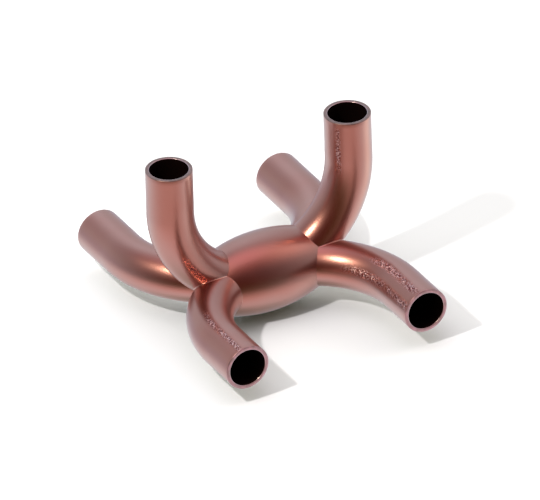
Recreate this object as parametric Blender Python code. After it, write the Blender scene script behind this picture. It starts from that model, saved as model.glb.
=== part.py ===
"""Six-way copper branch fitting: a bulged barrel with three bent tubes brazed into each end.

At each end one branch turns up, one turns to the front (-Y) and one to the back (+Y). The three
are mitred against each other and pass through one three-lobed opening in the barrel's drawn-in
end. Braze closes every seam. X runs along the barrel, Z is up, and the origin lies under the
middle of the barrel on the plane it stands on.
"""
import math

import bmesh
import bpy
from mathutils import Vector

MM = 0.001

# Branch tubes
TUBE_RADIUS = 7.95 * MM
TUBE_WALL = 1.3 * MM
BORE_RADIUS = TUBE_RADIUS - TUBE_WALL
BEND_RADIUS = 35.0 * MM
BEND_RISE = 34.2 * MM       # distance from the barrel's axis to where a bend becomes straight
PORT_OFFSET = 34.0 * MM     # distance along the barrel from its middle to a port's axis
PORT_REACH = 50.9 * MM      # distance from the barrel's axis to a port's mouth

# Barrel
BARREL_RADIUS = 13.75 * MM
BARREL_WALL = 1.3 * MM
BULGE_RADIUS = 51.5 * MM    # radius of the barrel's lengthwise curve
KNUCKLE_RADIUS = 3.6 * MM   # rounding between the barrel's side and its flat end
KNUCKLE_START = 18.3 * MM   # distance from the barrel's middle to the start of that rounding

# Fit between pieces
GAP = 0.3 * MM
BRAZE_RADIUS = 0.4 * MM
CROTCH_STOP = 1.2 * MM      # where a mitre seam's braze stops short of the barrel's axis
LONGEST_SWING = math.pi * 0.75      # more than any mitre seam turns before it reaches the barrel

# Mesh density
TUBE_SIDES = 24
BEND_STEPS = 9
BARREL_SIDES = 48
BARREL_LEVELS = (0.0, 0.3, 0.55, 0.72, 0.8, 0.85, 0.9, 0.95, 1.0)
MITRE_BRAZE_STEPS = 10
BRAZE_BEVEL_RESOLUTION = 2
BISECTION_STEPS = 40
SHARP_ANGLE = math.radians(35)

AXIS = Vector((0.0, 0.0, BARREL_RADIUS))
BEND_CENTRE = PORT_OFFSET - BEND_RADIUS
WHOLE_BEND = math.asin(BEND_RISE / BEND_RADIUS)   # the turn from the barrel's axis to the straight
UP = Vector((0.0, 0.0, 1.0))
FRONT = Vector((0.0, -1.0, 0.0))
BACK = Vector((0.0, 1.0, 0.0))
SIDES = {"left": Vector((-1.0, 0.0, 0.0)), "right": Vector((1.0, 0.0, 0.0))}
BRANCHES = {"top": UP, "front": FRONT, "back": BACK}

# Each branch keeps to its own wedge about the barrel's axis; these point into the wedge.
WEDGES = {
    "top": ((UP + FRONT).normalized(), (UP + BACK).normalized()),
    "front": ((FRONT - UP).normalized(), FRONT),
    "back": ((BACK - UP).normalized(), BACK),
}
# The direction from the axis in which each pair of branches meets.
MITRES = {
    "top_front": ("top", (UP + FRONT).normalized()),
    "top_back": ("top", (UP + BACK).normalized()),
    "front_back": ("front", -UP),
}


def bisect(inside, outside, test):
    """The place between two parameters where test changes from true to false."""
    for _ in range(BISECTION_STEPS):
        middle = (inside + outside) / 2
        if test(middle):
            inside = middle
        else:
            outside = middle
    return (inside + outside) / 2


# Barrel: a circle-arc side, a rounded knuckle and a flat end, turned about X

BULGE_CENTRE = BARREL_RADIUS - BULGE_RADIUS
KNUCKLE_ANGLE = math.asin(KNUCKLE_START / BULGE_RADIUS)
KNUCKLE_X = (BULGE_RADIUS - KNUCKLE_RADIUS) * math.sin(KNUCKLE_ANGLE)
KNUCKLE_Y = BULGE_CENTRE + (BULGE_RADIUS - KNUCKLE_RADIUS) * math.cos(KNUCKLE_ANGLE)
SIDE_LENGTH = BULGE_RADIUS * KNUCKLE_ANGLE
KNUCKLE_LENGTH = KNUCKLE_RADIUS * (math.pi / 2 - KNUCKLE_ANGLE)
PROFILE_LENGTH = SIDE_LENGTH + KNUCKLE_LENGTH + KNUCKLE_Y


def profile_point(travel, grow):
    """Distance along the axis and from it, after a travel along the half profile grown by grow."""
    if travel < SIDE_LENGTH:
        angle = travel / BULGE_RADIUS
        reach = BULGE_RADIUS + grow
        return reach * math.sin(angle), BULGE_CENTRE + reach * math.cos(angle)
    travel -= SIDE_LENGTH
    if travel < KNUCKLE_LENGTH:
        angle = KNUCKLE_ANGLE + travel / KNUCKLE_RADIUS
        reach = KNUCKLE_RADIUS + grow
        return KNUCKLE_X + reach * math.sin(angle), KNUCKLE_Y + reach * math.cos(angle)
    travel -= KNUCKLE_LENGTH
    return KNUCKLE_X + KNUCKLE_RADIUS + grow, KNUCKLE_Y - travel


def barrel_distance(point):
    """Distance of a point, taken from the axis, outside the barrel's outer surface."""
    along = abs(point.x)
    away = math.hypot(point.y, point.z)
    if away > KNUCKLE_Y and along > KNUCKLE_X:
        angle = math.atan2(along - KNUCKLE_X, away - KNUCKLE_Y)
        if angle > KNUCKLE_ANGLE:
            return math.hypot(along - KNUCKLE_X, away - KNUCKLE_Y) - KNUCKLE_RADIUS
    if away <= KNUCKLE_Y and along > KNUCKLE_X:
        return along - KNUCKLE_X - KNUCKLE_RADIUS
    return math.hypot(along, away - BULGE_CENTRE) - BULGE_RADIUS


def barrel_point(travel, around, grow, side):
    along, away = profile_point(travel, grow)
    return side * along + BACK * (away * math.cos(around)) + UP * (away * math.sin(around))


# Branches: a circle swept round a bend that starts inside the barrel, then straight to the mouth

def branch_distance(point, branch):
    """Distance of a point from the centreline of a branch's bend."""
    up = point.dot(BRANCHES[branch]) - BEND_RISE
    along = abs(point.x) - BEND_CENTRE
    aside = point.cross(BRANCHES[branch]).x
    return math.hypot(math.hypot(along, up) - BEND_RADIUS, aside)


def nearest_branch_distance(point):
    return min(branch_distance(point, branch) for branch in BRANCHES)


def branch_point(setback, around, radius, branch, side):
    """A point on a tube: setback is the bend angle still to turn, zero where the tube is straight."""
    direction = BRANCHES[branch]
    outward = side * math.cos(setback) - direction * math.sin(setback)
    centre = side * BEND_CENTRE + direction * BEND_RISE + outward * BEND_RADIUS
    aside = side.cross(direction)
    return centre + outward * (radius * math.cos(around)) + aside * (radius * math.sin(around))


def branch_root(around, radius, branch, side):
    """The setback at which a line along a tube meets its mitres or the barrel's inner surface."""
    def is_kept(setback):
        point = branch_point(setback, around, radius, branch, side)
        in_wedge = all(point.dot(inward) > GAP / 2 for inward in WEDGES[branch])
        return in_wedge and barrel_distance(point) > -BARREL_WALL
    return bisect(0.0, WHOLE_BEND, is_kept)


def barrel_edge(around, grow, clearance):
    """The travel at which the barrel's profile, grown by grow, comes within clearance of a branch."""
    def is_clear(travel):
        point = barrel_point(travel, around, grow, SIDES["right"])
        return nearest_branch_distance(point) > TUBE_RADIUS + clearance
    return bisect(0.0, PROFILE_LENGTH, is_clear)


def mitre_point(swing, radius, mitre, side):
    """A point where two tubes of one radius cross: swing turns from the crotch towards the barrel."""
    branch, outward = MITRES[mitre]
    direction = BRANCHES[branch]
    aside = abs(outward.cross(direction).x)
    height = radius * math.sin(swing) / aside
    up = height * outward.dot(direction) - BEND_RISE
    along = BEND_CENTRE + math.sqrt((BEND_RADIUS + radius * math.cos(swing)) ** 2 - up ** 2)
    return side * along + outward * height


# Mesh helpers

def add_row(mesh, points):
    return [mesh.verts.new(point + AXIS) for point in points]


def bridge(mesh, rows):
    """Quads between successive closed rows of equal length."""
    for lower, upper in zip(rows, rows[1:]):
        for index, corner in enumerate(lower):
            following = (index + 1) % len(lower)
            mesh.faces.new((corner, lower[following], upper[following], upper[index]))


def add_object(name, data, material, collection):
    item = bpy.data.objects.new(name, data)
    data.materials.append(material)
    collection.objects.link(item)
    return item


def add_shell(name, outer, inner, material, collection):
    """One closed body from an outer skin and an inner skin, both lists of rows in the same order."""
    mesh = bmesh.new()
    rows = [add_row(mesh, points) for points in outer + inner[::-1]]
    bridge(mesh, rows + rows[:1])
    bmesh.ops.recalc_face_normals(mesh, faces=mesh.faces[:])
    data = bpy.data.meshes.new(name)
    mesh.to_mesh(data)
    mesh.free()
    data.shade_smooth()
    data.set_sharp_from_angle(angle=SHARP_ANGLE)
    return add_object(name, data, material, collection)


def add_bead(name, points, is_ring, material, collection):
    """Braze laid along a line of points."""
    curve = bpy.data.curves.new(name, "CURVE")
    curve.dimensions = "3D"
    curve.bevel_depth = BRAZE_RADIUS
    curve.bevel_resolution = BRAZE_BEVEL_RESOLUTION
    curve.use_fill_caps = True
    spline = curve.splines.new("POLY")
    spline.points.add(len(points) - 1)
    for place, point in zip(spline.points, points):
        place.co = (*(point + AXIS), 1.0)
    spline.use_cyclic_u = is_ring
    return add_object(name, curve, material, collection)


def make_material(name, colour, roughness):
    material = bpy.data.materials.new(name)
    material.use_nodes = True
    shader = material.node_tree.nodes["Principled BSDF"]
    shader.inputs["Base Color"].default_value = (*colour, 1.0)
    shader.inputs["Metallic"].default_value = 1.0
    shader.inputs["Roughness"].default_value = roughness
    return material


# Pieces

def barrel_rows(grow):
    """Rows round the barrel from its left opening to its right one."""
    turns = [math.tau * index / BARREL_SIDES for index in range(BARREL_SIDES)]
    edges = [barrel_edge(turn, grow, GAP) for turn in turns]
    half = [("right", level) for level in BARREL_LEVELS]
    stations = [("left", level) for level in BARREL_LEVELS[:0:-1]] + half
    return [
        [barrel_point(level * edge, turn, grow, SIDES[side]) for turn, edge in zip(turns, edges)]
        for side, level in stations
    ]


def elbow_rows(branch, side, radius):
    """Rows round a tube from its mitred root to its mouth."""
    turns = [math.tau * index / TUBE_SIDES for index in range(TUBE_SIDES)]
    roots = [branch_root(turn, radius, branch, side) for turn in turns]
    rows = []
    for step in range(BEND_STEPS + 1):
        left = 1.0 - step / BEND_STEPS
        rows.append([branch_point(root * left, turn, radius, branch, side)
                     for turn, root in zip(turns, roots)])
    straight = BRANCHES[branch] * (PORT_REACH - BEND_RISE)
    rows.append([point + straight for point in rows[-1]])
    return rows


def root_bead_points(side):
    """The line of the braze in the corner between the barrel's end and its three branches."""
    standoff = BRAZE_RADIUS + GAP
    points = []
    for index in range(BARREL_SIDES):
        turn = math.tau * index / BARREL_SIDES
        travel = barrel_edge(turn, standoff, standoff)
        points.append(barrel_point(travel, turn, standoff, side))
    return points


def mitre_bead_points(mitre, side):
    """The line of the braze in the groove between two branches, clear of the root bead."""
    radius = TUBE_RADIUS + BRAZE_RADIUS + GAP
    outward = MITRES[mitre][1]

    def is_near_crotch(swing):
        return mitre_point(swing, radius, mitre, side).dot(outward) < CROTCH_STOP

    def is_clear_of_root(swing):
        clearance = 2 * GAP + 3 * BRAZE_RADIUS
        return barrel_distance(mitre_point(swing, radius, mitre, side)) > clearance

    first = bisect(0.0, math.pi / 2, is_near_crotch)
    last = bisect(first, LONGEST_SWING, is_clear_of_root)
    step = (last - first) / MITRE_BRAZE_STEPS
    swings = [first + step * index for index in range(MITRE_BRAZE_STEPS + 1)]
    return [mitre_point(swing, radius, mitre, side) for swing in swings]


def build():
    for item in list(bpy.data.objects):
        bpy.data.objects.remove(item, do_unlink=True)
    collection = bpy.context.scene.collection
    barrel_copper = make_material("barrel_copper", (0.72, 0.36, 0.28), 0.30)
    tube_copper = make_material("tube_copper", (0.66, 0.37, 0.31), 0.34)
    braze = make_material("braze", (0.78, 0.55, 0.48), 0.25)

    add_shell("barrel_shell", barrel_rows(0.0), barrel_rows(-BARREL_WALL), barrel_copper, collection)
    for side_name, side in SIDES.items():
        for branch in BRANCHES:
            outer = elbow_rows(branch, side, TUBE_RADIUS)
            inner = elbow_rows(branch, side, BORE_RADIUS)
            add_shell(f"{side_name}_{branch}_elbow", outer, inner, tube_copper, collection)
        add_bead(f"{side_name}_root_braze", root_bead_points(side), True, braze, collection)
        for mitre in MITRES:
            points = mitre_bead_points(mitre, side)
            add_bead(f"{side_name}_{mitre}_braze", points, False, braze, collection)


build()
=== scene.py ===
"""Looks of the six-way copper branch fitting: satin drawn copper on a white studio floor."""

import math

import bmesh
import bpy
from mathutils import Matrix, Vector


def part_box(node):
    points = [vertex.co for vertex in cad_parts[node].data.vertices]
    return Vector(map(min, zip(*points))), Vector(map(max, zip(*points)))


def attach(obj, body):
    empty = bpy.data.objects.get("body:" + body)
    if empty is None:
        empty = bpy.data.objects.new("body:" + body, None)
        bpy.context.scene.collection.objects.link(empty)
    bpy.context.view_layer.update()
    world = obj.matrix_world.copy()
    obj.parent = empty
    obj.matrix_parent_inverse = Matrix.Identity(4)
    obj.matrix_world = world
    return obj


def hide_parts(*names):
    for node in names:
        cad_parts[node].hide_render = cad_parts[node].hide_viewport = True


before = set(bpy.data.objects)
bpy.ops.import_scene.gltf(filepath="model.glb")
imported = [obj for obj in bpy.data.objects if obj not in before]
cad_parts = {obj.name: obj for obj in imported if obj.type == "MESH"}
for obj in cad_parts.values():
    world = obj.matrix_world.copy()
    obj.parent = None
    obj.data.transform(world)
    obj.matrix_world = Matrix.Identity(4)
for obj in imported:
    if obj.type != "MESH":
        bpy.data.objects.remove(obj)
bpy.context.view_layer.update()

MM = 0.001

# Sizes read from the frame
barrel_low, barrel_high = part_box("barrel_shell")
elbow_low, elbow_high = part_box("right_top_elbow")
BARREL_RADIUS = (barrel_high.z - barrel_low.z) / 2
AXIS = Vector((0.0, 0.0, (barrel_high.z + barrel_low.z) / 2))
TUBE_RADIUS = (elbow_high.y - elbow_low.y) / 2
PORT_OFFSET = elbow_high.x - TUBE_RADIUS
PORT_REACH = elbow_high.z - AXIS.z

# Sizes of the pieces that their boxes don't show
TUBE_WALL = 1.3 * MM
BORE_RADIUS = TUBE_RADIUS - TUBE_WALL
BEND_RADIUS = 35.0 * MM
BEND_RISE = 34.2 * MM
BARREL_WALL = 1.3 * MM
BULGE_RADIUS = 51.5 * MM
KNUCKLE_RADIUS = 3.6 * MM
KNUCKLE_START = 18.3 * MM

# Fine shape
OUTER_LIP = 0.22 * MM       # rounding of a mouth's outer edge
INNER_LIP = 0.16 * MM       # rounding of its inner edge, where the burr was cut away
LIP_STEPS = 4
ROOT_LEG = 0.13 * MM        # how far the braze creeps up each surface at the barrel
MITRE_LEG = 0.26 * MM       # and between two tubes
FILLET_ROOT = 0.10 * MM     # how far it lies under them
FILLET_STEPS = 4
SEAT = 0.02 * MM            # clearance of the barrel's opening round the tubes
TUBE_SIDES = 96
BEND_STEPS = 44
STRAIGHT_STEPS = 10
BARREL_SIDES = 144
BARREL_STEPS = 40
MITRE_STEPS = 60
BISECTION_STEPS = 34
LONGEST_SWING = math.pi * 0.75
SLOPE_STEP = 0.01 * MM
SHARP_DEGREES = 35.0
SHARP_FILLET_DEGREES = 60.0

# Copper: its colour, its colour where it is tarnished, its roughness and its grain's strength
BARREL_COPPER = ((0.51, 0.26, 0.22), (0.53, 0.24, 0.20), 0.30, 0.7)
TUBE_COPPER = ((0.55, 0.28, 0.24), (0.56, 0.26, 0.22), 0.30, 0.8)
BRAZE_COPPER = ((0.70, 0.42, 0.36), (0.74, 0.46, 0.40), 0.25, 0.3)
ROOT_BRAZE_COPPER = ((0.50, 0.26, 0.22), (0.54, 0.28, 0.24), 0.32, 0.3)
# Sawn copper: its colour, its tarnish and its roughness
RIM_COPPER = ((0.45, 0.29, 0.29), (0.66, 0.38, 0.42), 0.42)
# A darker copy of the sawn copper for the upward mouths: painted shade
SHADED_RIM_COPPER = ((0.26, 0.18, 0.16), (0.40, 0.25, 0.23), 0.42)
EDGE_COPPER = ((0.86, 0.64, 0.66), (0.74, 0.50, 0.54), 0.30)
OXIDE_ROUGHNESS = 0.8
OXIDE_SPECULAR = 0.05
OXIDE_COLOUR = (0.004, 0.001, 0.001)
OXIDE_DARK = (0.002, 0.001, 0.001)
OXIDE_LIGHT = (0.009, 0.002, 0.001)

# Surface detail
CLOUD_SCALE = 70.0
GLOSSIER = 0.03             # how much smoother the copper is between the clouds
DULLER = 0.04               # and how much rougher within them
DRAWING_STRETCH = (60.0, 140.0, 1.0)
DRAWING_DEPTH = 0.02 * MM
DRAWING_STRENGTH = 0.3
GRAIN_SCALE = 2400.0
GRAIN_DEPTH = 0.03 * MM
SPOT_SCALE = 450.0
SAW_SCALE = 2200.0
SAW_STRENGTH = 0.6
OXIDE_SCALE = 900.0
OXIDE_STRENGTH = 0.4
ROUGH_DETAIL = 0.6
SCUFF_SCALE = 1800.0
SCUFF_DEPTH = 0.40 * MM
# Painted glints: light and red flecks and dark specks in the base colour along the scuffed bands,
# standing in for sparkling reflected light
PAINTED_GLINT = (0.95, 0.70, 0.70)
PAINTED_RED_GLINT = (1.00, 0.30, 0.22)
PAINTED_DARK_SPECK = (0.20, 0.05, 0.06)
SPECK_LEVELS = (0.49, 0.44)   # the noise at which a painted dark speck starts, and at which it is full
GLINT_LEVELS = (0.51, 0.56)
BAND_EDGES = (1.4, 0.4)     # where a scuffed band with painted glints starts and is full, in half widths
BAND_ENDS = (1.0, 0.7)      # and in half lengths
CLUMP_SCALE = 350.0
CLUMP_LEVELS = (0.35, 0.50)
CLUMP_GAP = 0.4             # how strong a scuffed band and its painted glints still are between its clumps
# Bands of fine scuff marks along the branches, where the photograph has speckled streaks, with
# painted glints and dark specks in the base colour standing in for sparkling reflected light: place
# round the tube and half width in turns, first and last height along the branch in millimetres, and
# the colour of the painted glints
SCUFF_AND_GLINT_BANDS = {
    "left_top": ((0.79, 0.020, 7, 20, PAINTED_RED_GLINT),),
    "left_front": ((0.20, 0.017, 22, 54, PAINTED_GLINT),),
    "left_back": ((0.25, 0.014, 28, 50, PAINTED_GLINT),),
    "right_top": ((0.40, 0.017, 31, 50, PAINTED_GLINT),),
    "right_front": (
        (0.57, 0.025, 16, 56, PAINTED_GLINT),
        (0.69, 0.025, 22, 51, PAINTED_GLINT),
    ),
    "right_back": ((0.75, 0.014, 28, 50, PAINTED_GLINT),),
}

# Camera
VIEW_AZIMUTH = -28.18
VIEW_ELEVATION = 31.76
VIEW_ROLL = -1.93
VIEW_WIDTH = 179.62 * MM
VIEW_RIGHT = 2.55 * MM
VIEW_UP = 6.88 * MM
VIEW_DISTANCE = 0.6
VIEW_DEPTH = 10.0

# The main lamp, as two discs in one place: a wide one that only the metal shows, and a narrow
# one that only casts light and shadow
KEY_PLACE = Vector((-0.348, -0.096, 0.462))
SHINE_SIZE = 0.06
SHINE_POWER = 1.15
SHINE_COLOUR = (1.0, 0.97, 0.75)
CAST_SIZE = 0.03
CAST_POWER = 1.6
CAST_COLOUR = (1.0, 0.95, 0.95)

# The room's colours at these heights (degrees), on its light side and on its dark side. These
# rows, the glows, the soft lamps and THROWN weren't chosen by hand: a least-squares fit to the
# photograph made them, and they were then rounded and retouched.
HEIGHTS = (-90, -60, -35, -12, 10, 40, 62, 90)
LIGHT_SIDE = (
    (0.45, 0.55, 0.50), (0.90, 1.00, 1.05), (1.00, 1.26, 1.36), (0.60, 0.70, 0.85),
    (0.60, 0.70, 0.75), (0.40, 0.40, 0.45), (0.25, 0.15, 0.15), (1.05, 0.65, 0.75),
)
DARK_SIDE = (
    (0.45, 0.55, 0.50), (0.95, 1.05, 1.15), (0.95, 0.68, 0.63), (0.08, 0.06, 0.01),
    (0.10, 0.02, 0.01), (0.08, 0.01, 0.01), (0.30, 0.05, 0.06), (1.00, 0.65, 0.75),
)
DARK_SIDE_AZIMUTH = 210
DARK_SIDE_START = -0.46
DARK_SIDE_END = 0.92
# Soft patches of light in the room: azimuth, height, tightness and colour
GLOWS = (
    (105, 50, 14, (1.00, 0.75, 0.65)),
    (105, -25, 24, (0.60, 0.60, 0.40)),
    (246, 49, 24, (0.75, 0.53, 0.50)),
    (15, 43, 10, (0.40, 0.63, 0.74)),
)
# The soft lamps that light the floor, in the same terms
SOFT_LAMPS = (
    (0, 90, 10, (1.55, 1.49, 1.62)),
    (90, 32, 10, (3.45, 3.25, 3.00)),
    (302, 54, 10, (2.00, 2.13, 1.96)),
    (0, 0, 10, (5.90, 5.90, 6.50)),
)
# The room as seen through the floor is darkened where the object is nearer than SHADE_REACH
SHADE_REACH = 12 * MM
SHADE_SAMPLES = 4
SHADE_NONE = 0.7            # the share of open sky from which there is no darkening
SHADE_DARKEST = 0.2
FLOOR_SIZE = 2.0
FLOOR_CELLS = 8
FLOOR_DROP = 0.02 * MM
FLOOR_COLOUR = (0.92, 0.92, 0.92)
FLOOR_ROUGHNESS = 0.9
# What is left of the room's light once the metal has thrown it on the floor
THROWN = (0.46, 0.88, 0.76)
BLACK = (0.0, 0.0, 0.0)
WHITE = (1.0, 1.0, 1.0)

UP = Vector((0.0, 0.0, 1.0))
FRONT = Vector((0.0, -1.0, 0.0))
BACK = Vector((0.0, 1.0, 0.0))
SIDES = {"left": Vector((-1.0, 0.0, 0.0)), "right": Vector((1.0, 0.0, 0.0))}
BRANCHES = {"top": UP, "front": FRONT, "back": BACK}
WEDGES = {
    "top": ((UP + FRONT).normalized(), (UP + BACK).normalized()),
    "front": ((FRONT - UP).normalized(), FRONT),
    "back": ((BACK - UP).normalized(), BACK),
}
MITRES = {
    "top_front": ("top", "front", (UP + FRONT).normalized()),
    "top_back": ("top", "back", (UP + BACK).normalized()),
    "front_back": ("front", "back", -UP),
}
BEND_CENTRE = PORT_OFFSET - BEND_RADIUS
WHOLE_BEND = math.asin(BEND_RISE / BEND_RADIUS)
BULGE_CENTRE = BARREL_RADIUS - BULGE_RADIUS
KNUCKLE_ANGLE = math.asin(KNUCKLE_START / BULGE_RADIUS)
KNUCKLE_X = (BULGE_RADIUS - KNUCKLE_RADIUS) * math.sin(KNUCKLE_ANGLE)
KNUCKLE_Y = BULGE_CENTRE + (BULGE_RADIUS - KNUCKLE_RADIUS) * math.cos(KNUCKLE_ANGLE)
SIDE_LENGTH = BULGE_RADIUS * KNUCKLE_ANGLE
KNUCKLE_LENGTH = KNUCKLE_RADIUS * (math.pi / 2 - KNUCKLE_ANGLE)
PROFILE_LENGTH = SIDE_LENGTH + KNUCKLE_LENGTH + KNUCKLE_Y


def bisect(inside, outside, test):
    """The place between two parameters where test changes from true to false."""
    for _ in range(BISECTION_STEPS):
        middle = (inside + outside) / 2
        if test(middle):
            inside = middle
        else:
            outside = middle
    return (inside + outside) / 2


# The barrel's surface, about its own axis

def profile_point(travel, grow):
    """Distance along the axis and from it, after a travel along the half profile grown by grow."""
    if travel < SIDE_LENGTH:
        angle = travel / BULGE_RADIUS
        reach = BULGE_RADIUS + grow
        return reach * math.sin(angle), BULGE_CENTRE + reach * math.cos(angle)
    travel -= SIDE_LENGTH
    if travel < KNUCKLE_LENGTH:
        angle = KNUCKLE_ANGLE + travel / KNUCKLE_RADIUS
        reach = KNUCKLE_RADIUS + grow
        return KNUCKLE_X + reach * math.sin(angle), KNUCKLE_Y + reach * math.cos(angle)
    travel -= KNUCKLE_LENGTH
    return KNUCKLE_X + KNUCKLE_RADIUS + grow, KNUCKLE_Y - travel


def barrel_distance(point):
    """Distance of a point outside the barrel's outer surface."""
    along = abs(point.x)
    away = math.hypot(point.y, point.z)
    if away > KNUCKLE_Y and along > KNUCKLE_X:
        angle = math.atan2(along - KNUCKLE_X, away - KNUCKLE_Y)
        if angle > KNUCKLE_ANGLE:
            return math.hypot(along - KNUCKLE_X, away - KNUCKLE_Y) - KNUCKLE_RADIUS
    if away <= KNUCKLE_Y and along > KNUCKLE_X:
        return along - KNUCKLE_X - KNUCKLE_RADIUS
    return math.hypot(along, away - BULGE_CENTRE) - BULGE_RADIUS


def barrel_point(travel, around, grow, side):
    along, away = profile_point(travel, grow)
    return side * along + BACK * (away * math.cos(around)) + UP * (away * math.sin(around))


# The branches' surfaces

def branch_distance(point, branch):
    """Distance of a point from the centreline of a branch's bend."""
    up = point.dot(BRANCHES[branch]) - BEND_RISE
    along = abs(point.x) - BEND_CENTRE
    aside = point.cross(BRANCHES[branch]).x
    return math.hypot(math.hypot(along, up) - BEND_RADIUS, aside)


def nearest_branch_distance(point):
    return min(branch_distance(point, branch) for branch in BRANCHES)


def slope(distance, point):
    """The unit direction in which a distance grows fastest."""
    steps = Matrix.Identity(3) * SLOPE_STEP
    return Vector([distance(point + step) - distance(point - step) for step in steps]).normalized()


def branch_point(setback, around, radius, branch, side):
    """A point on a tube: setback is the bend angle still to turn, zero where the tube is straight."""
    direction = BRANCHES[branch]
    outward = side * math.cos(setback) - direction * math.sin(setback)
    centre = side * BEND_CENTRE + direction * BEND_RISE + outward * BEND_RADIUS
    aside = side.cross(direction)
    return centre + outward * (radius * math.cos(around)) + aside * (radius * math.sin(around))


def cut_depths(point, branch):
    """How far a point is inside each surface that trims a branch's root."""
    return [point.dot(inward) for inward in WEDGES[branch]] + [barrel_distance(point) + BARREL_WALL]


def branch_root(around, radius, branch, side):
    """The setback at which a line along a tube meets its mitres or the barrel's inner surface."""
    def is_kept(setback):
        return min(cut_depths(branch_point(setback, around, radius, branch, side), branch)) > 0
    return bisect(0.0, WHOLE_BEND, is_kept)


def trimming_cut(around, radius, branch, side):
    """Which surface trims a line along a tube."""
    root = branch_root(around, radius, branch, side)
    depths = cut_depths(branch_point(root, around, radius, branch, side), branch)
    return depths.index(min(depths))


def root_turns(radius, branch, side):
    """Angles round a tube, evenly spaced but for those moved to the exact corners of its root."""
    turns = [math.tau * index / TUBE_SIDES for index in range(TUBE_SIDES)]
    cuts = [trimming_cut(turn, radius, branch, side) for turn in turns]
    moved = list(turns)
    for index, turn in enumerate(turns):
        following = (index + 1) % TUBE_SIDES
        if cuts[index] == cuts[following]:
            continue
        end = turn + math.tau / TUBE_SIDES
        corner = bisect(turn, end, lambda t: trimming_cut(t, radius, branch, side) == cuts[index])
        if corner - turn < end - corner:
            moved[index] = corner
        else:
            moved[following] = corner
    return moved


def barrel_edge(around, grow, clearance):
    """The travel at which the barrel's profile, grown by grow, comes too near to a branch."""
    def is_clear(travel):
        point = barrel_point(travel, around, grow, SIDES["right"])
        return nearest_branch_distance(point) > TUBE_RADIUS + clearance
    return bisect(0.0, PROFILE_LENGTH, is_clear)


def mitre_point(swing, radius, mitre, side):
    """A point where two tubes of one radius cross; swing turns from the crotch to the barrel."""
    branch, _, outward = MITRES[mitre]
    direction = BRANCHES[branch]
    aside = abs(outward.cross(direction).x)
    height = radius * math.sin(swing) / aside
    up = height * outward.dot(direction) - BEND_RISE
    along = BEND_CENTRE + math.sqrt((BEND_RADIUS + radius * math.cos(swing)) ** 2 - up ** 2)
    return side * along + outward * height


# Mesh helpers

def bridge(mesh, lower, upper, uv_layer, lower_uv, upper_uv, material_index):
    """Quads between two closed rows; their UVs are the travel in metres and the share of a turn."""
    count = len(lower)
    for index in range(count):
        following = (index + 1) % count
        corners = (lower[index], lower[following], upper[following], upper[index])
        face = mesh.faces.new(corners)
        face.material_index = material_index
        turn = Vector((0.0, 1.0 if following == 0 else 0.0))
        coords = (lower_uv[index], lower_uv[following] + turn,
                  upper_uv[following] + turn, upper_uv[index])
        for loop, coord in zip(face.loops, coords):
            loop[uv_layer].uv = coord


def finish_mesh(mesh, name, materials, sharp_degrees):
    bmesh.ops.recalc_face_normals(mesh, faces=mesh.faces[:])
    data = bpy.data.meshes.new(name)
    mesh.to_mesh(data)
    mesh.free()
    data.shade_smooth()
    data.set_sharp_from_angle(angle=math.radians(sharp_degrees))
    for material in materials:
        data.materials.append(material)
    item = bpy.data.objects.new(name, data)
    bpy.context.scene.collection.objects.link(item)
    return item


def closed_skin(name, rows, row_materials, materials):
    """A closed body from rows of points bridged in turn, the last one to the first."""
    mesh = bmesh.new()
    uv_layer = mesh.loops.layers.uv.new("travel")
    made, coords = [], []
    travels = [0.0] * len(rows[0])
    for number, row in enumerate(rows):
        if number:
            travels = [t + (p - q).length for t, p, q in zip(travels, row, rows[number - 1])]
        made.append([mesh.verts.new(point + AXIS) for point in row])
        coords.append([Vector((t, index / len(row))) for index, t in enumerate(travels)])
    for number in range(len(rows)):
        following = (number + 1) % len(rows)
        bridge(mesh, made[number], made[following], uv_layer, coords[number], coords[following],
               row_materials[number])
    return finish_mesh(mesh, name, materials, SHARP_DEGREES)


def place_piece(piece, slot, *nodes):
    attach(piece, "root")
    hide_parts(*nodes)


# Pieces

def branch_rows(branch, side):
    """Rows from the outer root to the mouth, round its lip and back down the bore."""
    direction = BRANCHES[branch]
    turns = root_turns(TUBE_RADIUS, branch, side)
    skins = []
    for radius in (TUBE_RADIUS, BORE_RADIUS):
        roots = [branch_root(turn, radius, branch, side) for turn in turns]
        bend = [[branch_point(root * (1 - step / BEND_STEPS), turn, radius, branch, side)
                 for turn, root in zip(turns, roots)] for step in range(BEND_STEPS + 1)]
        skins.append(bend)
    outer, inner = skins

    def ring(radius, height):
        lift = direction * (height - BEND_RISE)
        return [branch_point(0.0, turn, radius, branch, side) + lift for turn in turns]

    straight = PORT_REACH - BEND_RISE - OUTER_LIP
    run = [BEND_RISE + straight * step / STRAIGHT_STEPS for step in range(1, STRAIGHT_STEPS + 1)]
    rows = outer + [ring(TUBE_RADIUS, height) for height in run]
    materials = ["skin"] * (len(rows) - 1)
    for step in range(1, LIP_STEPS + 1):
        angle = math.pi / 2 * step / LIP_STEPS
        rows.append(ring(TUBE_RADIUS - OUTER_LIP * (1 - math.cos(angle)),
                         PORT_REACH - OUTER_LIP * (1 - math.sin(angle))))
        materials.append("rim")
    for step in range(LIP_STEPS + 1):
        angle = math.pi / 2 * step / LIP_STEPS
        rows.append(ring(BORE_RADIUS + INNER_LIP * (1 - math.sin(angle)),
                         PORT_REACH - INNER_LIP * (1 - math.cos(angle))))
        materials.append("edge" if step else "rim")
    rows += [ring(BORE_RADIUS, height) for height in run[-2::-1]]
    rows += inner[::-1]
    materials += ["bore"] * (len(rows) - len(materials))
    return rows, materials


def make_branch(side_name, branch, materials):
    order = list(materials)
    rows, names = branch_rows(branch, SIDES[side_name])
    piece = closed_skin(f"{side_name}_{branch}_branch", rows, [order.index(n) for n in names],
                        [materials[n] for n in order])
    place_piece(piece, "tube_copper", f"{side_name}_{branch}_elbow")


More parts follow.
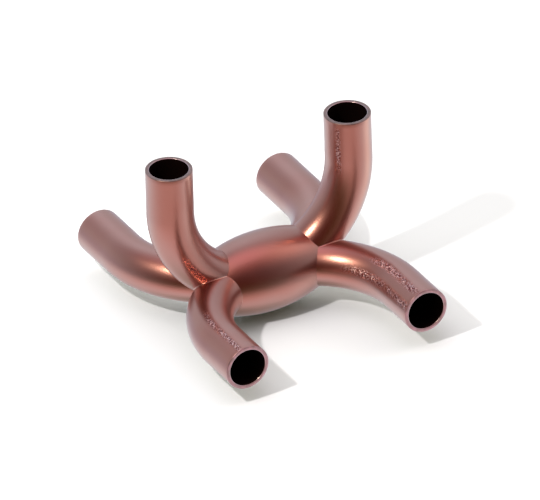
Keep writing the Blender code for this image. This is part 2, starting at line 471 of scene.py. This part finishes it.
def make_barrel(skin, bore):
    turns = [math.tau * index / BARREL_SIDES for index in range(BARREL_SIDES)]

    def skin_rows(grow):
        edges = [barrel_edge(turn, grow, SEAT) for turn in turns]
        rows = []
        for step in range(-BARREL_STEPS, BARREL_STEPS + 1):
            side = SIDES["right"] if step >= 0 else SIDES["left"]
            share = math.sin(math.pi / 2 * abs(step) / BARREL_STEPS)
            rows.append([barrel_point(edge * share, turn, grow, side)
                         for turn, edge in zip(turns, edges)])
        return rows

    outer = skin_rows(0.0)
    inner = skin_rows(-BARREL_WALL)[::-1]
    materials = [0] * (len(outer) - 1) + [1] * (len(inner) + 1)
    piece = closed_skin("barrel", outer + inner, materials, [skin, bore])
    place_piece(piece, "barrel_copper", "barrel_shell")


def fillet_rows(points, first_distance, second_distance, leg, is_ring):
    """Sections of a small concave fillet along a seam between two surfaces."""
    count = len(points)
    rows = []
    for index, point in enumerate(points):
        after = points[(index + 1) % count] if is_ring else points[min(index + 1, count - 1)]
        before = points[index - 1] if is_ring else points[max(index - 1, 0)]
        along = (after - before).normalized()
        first, second = slope(first_distance, point), slope(second_distance, point)
        up_first = along.cross(first)
        up_second = along.cross(second)
        up_first *= math.copysign(1.0, up_first.dot(second))
        up_second *= math.copysign(1.0, up_second.dot(first))
        start = point + up_first.normalized() * leg
        end = point + up_second.normalized() * leg
        row = []
        for step in range(FILLET_STEPS + 1):
            t = step / FILLET_STEPS
            row.append(start * (1 - t) ** 2 + point * (2 * t * (1 - t)) + end * t ** 2)
        under = -(first + second).normalized() * FILLET_ROOT
        row += [end - second * FILLET_ROOT, point + under, start - first * FILLET_ROOT]
        rows.append(row)
    return rows


def make_fillet(name, points, first_distance, second_distance, leg, is_ring, material, node):
    rows = fillet_rows(points, first_distance, second_distance, leg, is_ring)
    mesh = bmesh.new()
    made = [[mesh.verts.new(point + AXIS) for point in row] for row in rows]
    pairs = list(zip(made, made[1:])) + ([(made[-1], made[0])] if is_ring else [])
    for lower, upper in pairs:
        for index in range(len(lower)):
            following = (index + 1) % len(lower)
            mesh.faces.new((lower[index], lower[following], upper[following], upper[index]))
    if not is_ring:
        mesh.faces.new(made[0])
        mesh.faces.new(made[-1][::-1])
    piece = finish_mesh(mesh, name, [material], SHARP_FILLET_DEGREES)
    place_piece(piece, "braze", node)


def make_root_fillet(side_name, material):
    side = SIDES[side_name]
    count = BARREL_SIDES * 2
    points = []
    for index in range(count):
        turn = math.tau * index / count
        points.append(barrel_point(barrel_edge(turn, 0.0, 0.0), turn, 0.0, side))
    make_fillet(f"{side_name}_root_fillet", points, barrel_distance, nearest_branch_distance,
                ROOT_LEG, True, material, f"{side_name}_root_braze")


def make_mitre_fillet(side_name, mitre, material):
    side = SIDES[side_name]
    first, second, _ = MITRES[mitre]
    last = bisect(0.0, LONGEST_SWING,
                  lambda swing: barrel_distance(mitre_point(swing, TUBE_RADIUS, mitre, side)) > 0)
    points = [mitre_point(last * index / MITRE_STEPS, TUBE_RADIUS, mitre, side)
              for index in range(MITRE_STEPS + 1)]
    make_fillet(f"{side_name}_{mitre}_fillet", points,
                lambda point: branch_distance(point, first),
                lambda point: branch_distance(point, second), MITRE_LEG, False,
                material, f"{side_name}_{mitre}_braze")


# Materials

def new_material(name, colour, metallic, roughness):
    material = bpy.data.materials.new(name)
    material.use_nodes = True
    shader = material.node_tree.nodes["Principled BSDF"]
    shader.inputs["Base Color"].default_value = (*colour, 1.0)
    shader.inputs["Metallic"].default_value = metallic
    shader.inputs["Roughness"].default_value = roughness
    return material, material.node_tree, shader


def noise(tree, scale, detail, vector, roughness=0.5):
    node = tree.nodes.new("ShaderNodeTexNoise")
    node.inputs["Scale"].default_value = scale
    node.inputs["Detail"].default_value = detail
    node.inputs["Roughness"].default_value = roughness
    tree.links.new(vector, node.inputs["Vector"])
    return node.outputs["Fac"]


def map_range(tree, value, low, high, to_low, to_high):
    node = tree.nodes.new("ShaderNodeMapRange")
    node.inputs["From Min"].default_value = low
    node.inputs["From Max"].default_value = high
    node.inputs["To Min"].default_value = to_low
    node.inputs["To Max"].default_value = to_high
    tree.links.new(value, node.inputs["Value"])
    return node.outputs["Result"]


def set_input(tree, socket, value):
    """Links a socket to another node's output, or sets a number or colour on it."""
    if isinstance(value, bpy.types.NodeSocket):
        tree.links.new(value, socket)
    elif isinstance(value, tuple):
        socket.default_value = (*value, 1.0)
    else:
        socket.default_value = value


def math_node(tree, operation, first, second=0.0):
    node = tree.nodes.new("ShaderNodeMath")
    node.operation = operation
    set_input(tree, node.inputs[0], first)
    set_input(tree, node.inputs[1], second)
    return node.outputs["Value"]


def mix_colour(tree, factor, first, second, blend="MIX"):
    node = tree.nodes.new("ShaderNodeMix")
    node.data_type = "RGBA"
    node.blend_type = blend
    tree.links.new(factor, node.inputs["Factor"])
    set_input(tree, node.inputs["A"], first)
    set_input(tree, node.inputs["B"], second)
    return node.outputs["Result"]


def bump(tree, height, strength, distance, under=None):
    node = tree.nodes.new("ShaderNodeBump")
    set_input(tree, node.inputs["Strength"], strength)
    node.inputs["Distance"].default_value = distance
    tree.links.new(height, node.inputs["Height"])
    if under is not None:
        tree.links.new(under, node.inputs["Normal"])
    return node.outputs["Normal"]


def copper(name, colour, warm, roughness, grain, scuff_and_glint_bands=(), direction=UP):
    """Satin copper: fine grain, drawing marks, slow tarnish clouds and scuffed bands with painted
    glints and dark specks.
    """
    material, tree, shader = new_material(name, colour, 1.0, roughness)
    place = tree.nodes.new("ShaderNodeTexCoord")
    clouds = noise(tree, CLOUD_SCALE, 3.0, place.outputs["Object"])
    tint = mix_colour(tree, map_range(tree, clouds, 0.3, 0.7, 0.0, 1.0), colour, warm)
    gloss = map_range(tree, clouds, 0.25, 0.75, roughness - GLOSSIER, roughness + DULLER)
    tree.links.new(gloss, shader.inputs["Roughness"])
    stretched = tree.nodes.new("ShaderNodeMapping")
    stretched.inputs["Scale"].default_value = DRAWING_STRETCH
    tree.links.new(place.outputs["UV"], stretched.inputs["Vector"])
    marks = noise(tree, 1.0, 2.0, stretched.outputs["Vector"])
    normal = bump(tree, marks, DRAWING_STRENGTH, DRAWING_DEPTH)
    fine = noise(tree, GRAIN_SCALE, 1.0, place.outputs["Object"], ROUGH_DETAIL)
    normal = bump(tree, fine, grain, GRAIN_DEPTH, normal)
    if scuff_and_glint_bands:
        rough = noise(tree, SCUFF_SCALE, 2.0, place.outputs["Object"], ROUGH_DETAIL)
    for *where, glint_colour in scuff_and_glint_bands:
        band = scuff_and_glint_mask(tree, place, direction, *where)
        normal = bump(tree, rough, band, SCUFF_DEPTH, normal)
        # Painted dark specks and light glints in the base colour, standing in for sparkling reflected
        # light
        painted_specks = math_node(tree, "MULTIPLY", band, map_range(tree, rough, *SPECK_LEVELS, 0.0, 1.0))
        painted_glints = math_node(tree, "MULTIPLY", band, map_range(tree, rough, *GLINT_LEVELS, 0.0, 1.0))
        tint = mix_colour(tree, painted_specks, tint, PAINTED_DARK_SPECK)
        tint = mix_colour(tree, painted_glints, tint, glint_colour)
    tree.links.new(tint, shader.inputs["Base Color"])
    tree.links.new(normal, shader.inputs["Normal"])
    return material


def scuff_and_glint_mask(tree, place, direction, turn, half_width, start, end):
    """How scuffed the surface is, and how strong its painted glints are: a soft band along the tube,
    broken into clumps.
    """
    parts = tree.nodes.new("ShaderNodeSeparateXYZ")
    tree.links.new(place.outputs["UV"], parts.inputs["Vector"])
    aside = math_node(tree, "ABSOLUTE", math_node(tree, "SUBTRACT", parts.outputs["Y"], turn))
    outer, inner = (half_width * share for share in BAND_EDGES)
    band = map_range(tree, aside, outer, inner, 0.0, 1.0)
    rise = tree.nodes.new("ShaderNodeVectorMath")
    rise.operation = "DOT_PRODUCT"
    tree.links.new(place.outputs["Object"], rise.inputs[0])
    rise.inputs[1].default_value = direction
    middle = AXIS.dot(direction) + (start + end) / 2 * MM
    above_middle = math_node(tree, "SUBTRACT", rise.outputs["Value"], middle)
    off_middle = math_node(tree, "ABSOLUTE", above_middle)
    outer, inner = ((end - start) / 2 * MM * share for share in BAND_ENDS)
    length = map_range(tree, off_middle, outer, inner, 0.0, 1.0)
    patches = noise(tree, CLUMP_SCALE, 1.0, place.outputs["Object"])
    clumps = map_range(tree, patches, *CLUMP_LEVELS, CLUMP_GAP, 1.0)
    return math_node(tree, "MULTIPLY", math_node(tree, "MULTIPLY", band, length), clumps)


def cut_copper(name, colour, tarnish, roughness):
    """The sawn end of a tube: dull, with fine marks and uneven tarnish."""
    material, tree, shader = new_material(name, colour, 1.0, roughness)
    place = tree.nodes.new("ShaderNodeTexCoord")
    spots = noise(tree, SPOT_SCALE, 2.0, place.outputs["Object"])
    tint = mix_colour(tree, map_range(tree, spots, 0.35, 0.65, 0.0, 1.0), colour, tarnish)
    tree.links.new(tint, shader.inputs["Base Color"])
    marks = noise(tree, SAW_SCALE, 1.0, place.outputs["Object"])
    tree.links.new(bump(tree, marks, SAW_STRENGTH, GRAIN_DEPTH), shader.inputs["Normal"])
    return material


def bore_oxide():
    material, tree, shader = new_material("bore_oxide", OXIDE_COLOUR, 0.0, OXIDE_ROUGHNESS)
    shader.inputs["Specular IOR Level"].default_value = OXIDE_SPECULAR
    place = tree.nodes.new("ShaderNodeTexCoord")
    scale = noise(tree, OXIDE_SCALE, 3.0, place.outputs["Object"])
    tint = mix_colour(tree, scale, OXIDE_DARK, OXIDE_LIGHT)
    tree.links.new(tint, shader.inputs["Base Color"])
    tree.links.new(bump(tree, scale, OXIDE_STRENGTH, GRAIN_DEPTH), shader.inputs["Normal"])
    return material


# Studio

def make_floor():
    """A white floor. The metal sees the room through it, darker where the object stands close."""
    mesh = bmesh.new()
    bmesh.ops.create_grid(mesh, x_segments=FLOOR_CELLS, y_segments=FLOOR_CELLS, size=FLOOR_SIZE)
    material, tree, shader = new_material("studio_floor", FLOOR_COLOUR, 0.0, FLOOR_ROUGHNESS)
    shader.inputs["Specular IOR Level"].default_value = 0.0
    nearness = tree.nodes.new("ShaderNodeAmbientOcclusion")
    nearness.samples = SHADE_SAMPLES
    nearness.inputs["Distance"].default_value = SHADE_REACH
    clear = tree.nodes.new("ShaderNodeBsdfTransparent")
    shade = map_range(tree, nearness.outputs["AO"], 0.0, SHADE_NONE, SHADE_DARKEST, 1.0)
    tree.links.new(shade, clear.inputs["Color"])
    path = tree.nodes.new("ShaderNodeLightPath")
    pick = tree.nodes.new("ShaderNodeMixShader")
    tree.links.new(path.outputs["Is Glossy Ray"], pick.inputs["Fac"])
    tree.links.new(shader.outputs["BSDF"], pick.inputs[1])
    tree.links.new(clear.outputs["BSDF"], pick.inputs[2])
    tree.links.new(pick.outputs["Shader"], tree.nodes["Material Output"].inputs["Surface"])
    floor = finish_mesh(mesh, "studio_floor", [material], SHARP_DEGREES)
    floor.location.z = -FLOOR_DROP


def make_lamp(name, size, power, colour, shines):
    """A round lamp that either shines in the metal or casts light and shadow on the floor."""
    data = bpy.data.lights.new(name, "AREA")
    data.shape = "DISK"
    data.size = size
    data.energy = power
    data.color = colour
    item = bpy.data.objects.new(name, data)
    item.location = KEY_PLACE
    item.rotation_euler = (AXIS - item.location).to_track_quat("-Z", "Y").to_euler()
    bpy.context.scene.collection.objects.link(item)
    item.visible_camera = False
    item.visible_glossy = shines
    item.visible_diffuse = not shines


def facing(tree, azimuth, elevation):
    """How closely a direction of the world faces the given one: its cosine."""
    turn, rise = math.radians(azimuth), math.radians(elevation)
    across = math.cos(rise)
    node = tree.nodes.new("ShaderNodeVectorMath")
    node.operation = "DOT_PRODUCT"
    tree.links.new(tree.nodes["Direction"].outputs["Generated"], node.inputs[0])
    node.inputs[1].default_value = (math.sin(turn) * across, math.cos(turn) * across, math.sin(rise))
    return node.outputs["Value"]


def wall(tree, colours):
    """A room's colour by height."""
    ramp = tree.nodes.new("ShaderNodeValToRGB")
    tree.links.new(map_range(tree, facing(tree, 0, 90), -1, 1, 0, 1), ramp.inputs["Fac"])
    stops = ramp.color_ramp.elements
    while len(stops) < len(HEIGHTS):
        stops.new(0.5)
    for stop, height, colour in zip(stops, HEIGHTS, colours):
        stop.position = (math.sin(math.radians(height)) + 1) / 2
        stop.color = (*colour, 1.0)
    return ramp.outputs["Color"]


def add_glow(tree, under, azimuth, elevation, tightness, colour):
    """A soft round patch of light over what is there."""
    spread = tree.nodes.new("ShaderNodeMath")
    spread.operation = "MULTIPLY_ADD"
    tree.links.new(facing(tree, azimuth, elevation), spread.inputs[0])
    spread.inputs[1].default_value = tightness
    spread.inputs[2].default_value = -tightness
    glow = tree.nodes.new("ShaderNodeMath")
    glow.operation = "EXPONENT"
    tree.links.new(spread.outputs["Value"], glow.inputs[0])
    return mix_colour(tree, glow.outputs["Value"], under, colour, "ADD")


def make_world():
    """A room for the metal to reflect, soft lamps for the floor, and plain white behind."""
    world = bpy.data.worlds.new("studio")
    bpy.context.scene.world = world
    world.use_nodes = True
    tree = world.node_tree
    tree.nodes.clear()
    tree.nodes.new("ShaderNodeTexCoord").name = "Direction"

    turned = facing(tree, DARK_SIDE_AZIMUTH, 0)
    turn = map_range(tree, turned, DARK_SIDE_START, DARK_SIDE_END, 0, 1)
    turn.node.interpolation_type = "SMOOTHSTEP"
    room = mix_colour(tree, turn, wall(tree, LIGHT_SIDE), wall(tree, DARK_SIDE))
    for glow in GLOWS:
        room = add_glow(tree, room, *glow)
    soft = BLACK
    for lamp in SOFT_LAMPS:
        soft = add_glow(tree, soft, *lamp)

    path = tree.nodes.new("ShaderNodeLightPath")
    room = mix_colour(tree, path.outputs["Diffuse Depth"], room, THROWN, "MULTIPLY")
    shown = {"Is Glossy Ray": room, "Is Diffuse Ray": soft, "Is Camera Ray": WHITE}
    total = None
    for seen_by, colour in shown.items():
        part = tree.nodes.new("ShaderNodeBackground")
        set_input(tree, part.inputs["Color"], colour)
        tree.links.new(path.outputs[seen_by], part.inputs["Strength"])
        if total is None:
            total = part.outputs["Background"]
            continue
        both = tree.nodes.new("ShaderNodeAddShader")
        tree.links.new(total, both.inputs[0])
        tree.links.new(part.outputs["Background"], both.inputs[1])
        total = both.outputs["Shader"]
    output = tree.nodes.new("ShaderNodeOutputWorld")
    tree.links.new(total, output.inputs["Surface"])


def make_camera():
    data = bpy.data.cameras.new("camera")
    data.type = "ORTHO"
    data.ortho_scale = VIEW_WIDTH
    data.clip_end = VIEW_DEPTH
    item = bpy.data.objects.new("camera", data)
    bpy.context.scene.collection.objects.link(item)
    turn = Matrix.Rotation(math.radians(VIEW_AZIMUTH), 4, "Z")
    turn @= Matrix.Rotation(math.radians(90 - VIEW_ELEVATION), 4, "X")
    turn @= Matrix.Rotation(math.radians(VIEW_ROLL), 4, "Z")
    offset = Matrix.Translation((VIEW_RIGHT, VIEW_UP, VIEW_DISTANCE))
    item.matrix_world = Matrix.Translation(AXIS) @ turn @ offset
    bpy.context.scene.camera = item


def build():
    make_camera()
    make_floor()
    make_world()
    make_lamp("key_shine", SHINE_SIZE, SHINE_POWER, SHINE_COLOUR, True)
    make_lamp("key_cast", CAST_SIZE, CAST_POWER, CAST_COLOUR, False)

    barrel_skin = copper("barrel_copper", *BARREL_COPPER)
    rim = cut_copper("rim_copper", *RIM_COPPER)
    shaded_rim = cut_copper("shaded_rim_copper", *SHADED_RIM_COPPER)
    edge = cut_copper("edge_copper", *EDGE_COPPER)
    braze = copper("braze_copper", *BRAZE_COPPER)
    root_braze = copper("root_braze_copper", *ROOT_BRAZE_COPPER)
    bore = bore_oxide()

    make_barrel(barrel_skin, bore)
    for side_name in SIDES:
        for branch, direction in BRANCHES.items():
            name = f"{side_name}_{branch}"
            skin = copper(f"{name}_copper", *TUBE_COPPER, SCUFF_AND_GLINT_BANDS[name], direction)
            # The upward mouths take the darker copy of the sawn copper, as painted shade
            face = shaded_rim if branch == "top" else rim
            make_branch(side_name, branch, {"skin": skin, "rim": face, "edge": edge, "bore": bore})
        make_root_fillet(side_name, root_braze)
        for mitre in MITRES:
            make_mitre_fillet(side_name, mitre, braze)

    bpy.context.scene.view_settings.view_transform = "Standard"


build()
